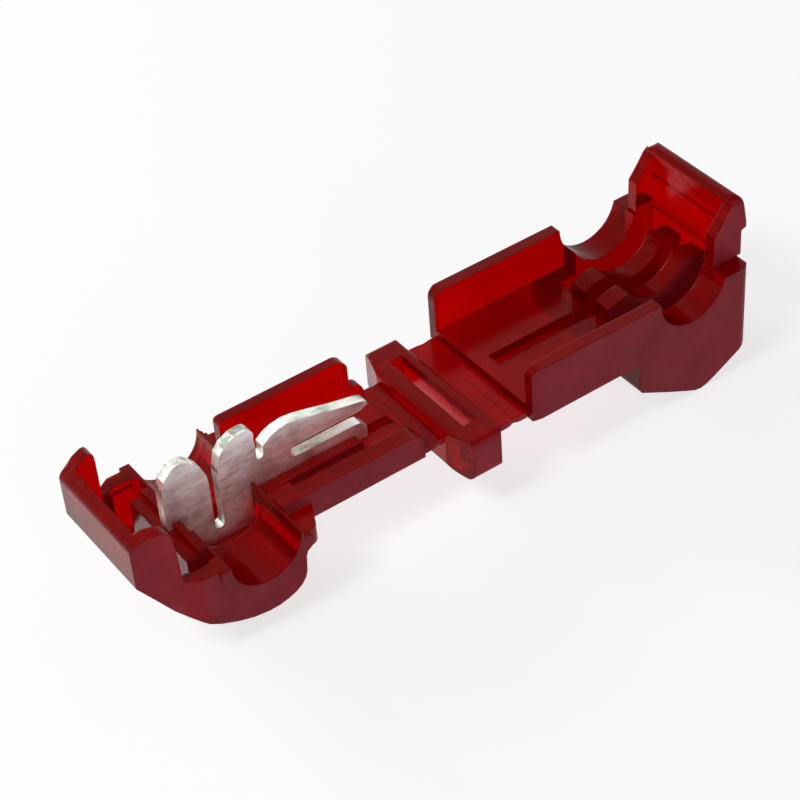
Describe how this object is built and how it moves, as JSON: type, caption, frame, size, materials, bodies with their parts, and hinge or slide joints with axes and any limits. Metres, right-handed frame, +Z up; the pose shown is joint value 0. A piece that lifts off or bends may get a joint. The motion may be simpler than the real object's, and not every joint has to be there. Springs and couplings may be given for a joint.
{
  "type": "t-tap wire connector",
  "caption": "Open moulded T-tap: a folding red nylon shell with a stamped contact that pierces a run wire and takes a flat male tab through its hinge bar",
  "frame": {"origin": "centre of the bounding box on the ground plane, under the hinge bar region", "axes": "+X runs from the catch wall of the base half to the latch tongue of the cover half, +Y across the part toward the tall channel wall, +Z up out of the open mould side"},
  "size_m": [0.0444, 0.0112, 0.0124],
  "materials": {
    "nylon": "translucent moulded gloss",
    "contact": "tin plated, bright cut edges"
  },
  "bodies": {
    "base": {"base_half": "nylon", "contact_plate": "contact", "front_web": "nylon"},
    "bar": {"hinge_bar": "nylon", "rear_web": "nylon"},
    "cover": {"cover_half": "nylon", "latch_tongue": "nylon"}
  },
  "joints": [
    {"name": "fold_one", "type": "hinge", "parent": "base", "child": "bar", "pos_m": [-0.0013, 0, 0.00482], "axis": [0, -1, 0], "range_deg": [0, 90], "deforming": ["front_web"]},
    {"name": "fold_two", "type": "hinge", "parent": "bar", "child": "cover", "pos_m": [0.00338, 0, 0.00482], "axis": [0, -1, 0], "range_deg": [0, 90], "deforming": ["rear_web", "latch_tongue"]}
  ]
}
